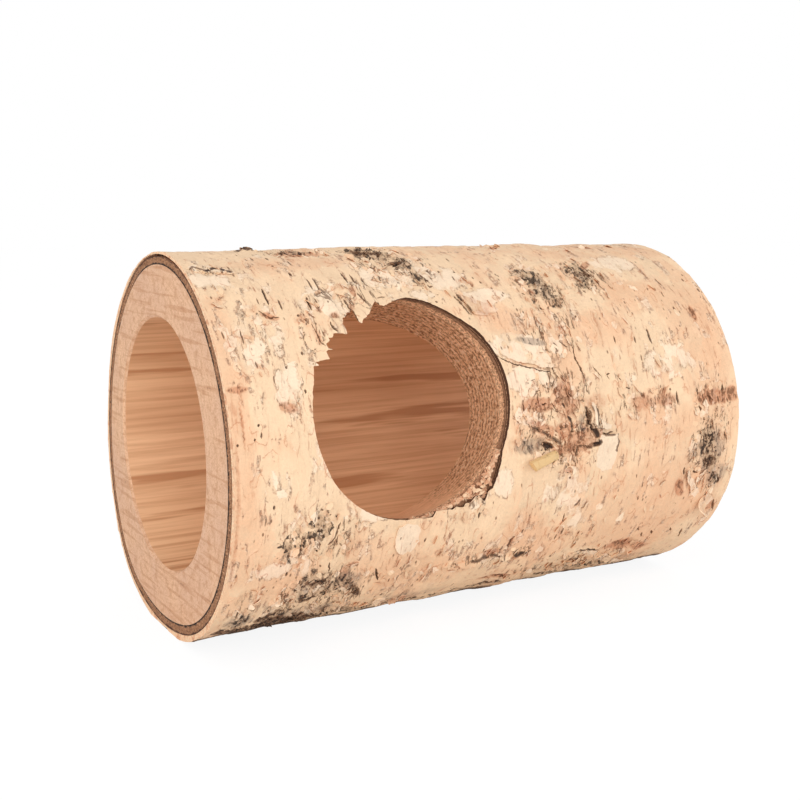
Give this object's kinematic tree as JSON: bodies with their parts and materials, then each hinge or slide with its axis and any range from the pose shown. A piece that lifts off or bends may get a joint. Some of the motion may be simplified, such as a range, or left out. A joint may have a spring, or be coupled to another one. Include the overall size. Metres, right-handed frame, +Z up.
{
  "type": "hamster house",
  "caption": "Hollowed birch log tunnel for a hamster, bored through from end to end, with a round doorway sawn in its side and its bark left on.",
  "frame": {"origin": "on the ground, in the flat underside, below the bore axis at the middle of the log's length", "axes": "+X along the log towards the far mouth, -Y out of the doorway side, +Z up"},
  "size_m": [0.187, 0.1287, 0.1222],
  "materials": {
    "birch_wood": "bare sanded birch with soft grain",
    "knot_wood": "weathered branch wood",
    "inner_bark": "dry brown fibrous bast",
    "outer_bark": "peach and cream birch bark with dark short streaks",
    "paper_bark": "thin pale curling paper bark",
    "corky_bark": "rough dark corky bark"
  },
  "bodies": {
    "root": {"bark_curl_doorway": "paper_bark", "bark_curl_knot_lower": "paper_bark", "bark_curl_knot_upper": "paper_bark", "bark_curl_right_end": "paper_bark", "bark_curls_underside": "paper_bark", "bark_flake_near_end": "paper_bark", "bark_flake_under_doorway": "paper_bark", "bark_sheet_lower_middle": "paper_bark", "bark_sheet_over_knot": "paper_bark", "bark_sheet_right_end": "paper_bark", "bark_splinters_knot": "paper_bark", "bark_strip_underside": "paper_bark", "branch_knot": "knot_wood", "corky_plate_left": "corky_bark", "corky_plate_lower_left": "corky_bark", "corky_plate_right_end": "corky_bark", "corky_plate_top": "corky_bark", "corky_plate_underside": "corky_bark", "corky_plate_upper_middle": "corky_bark", "corky_plate_upper_right": "corky_bark", "inner_bark": "inner_bark", "knot_collar": "corky_bark", "outer_bark": "outer_bark", "wood_wall": "birch_wood"}
  },
  "joints": []
}
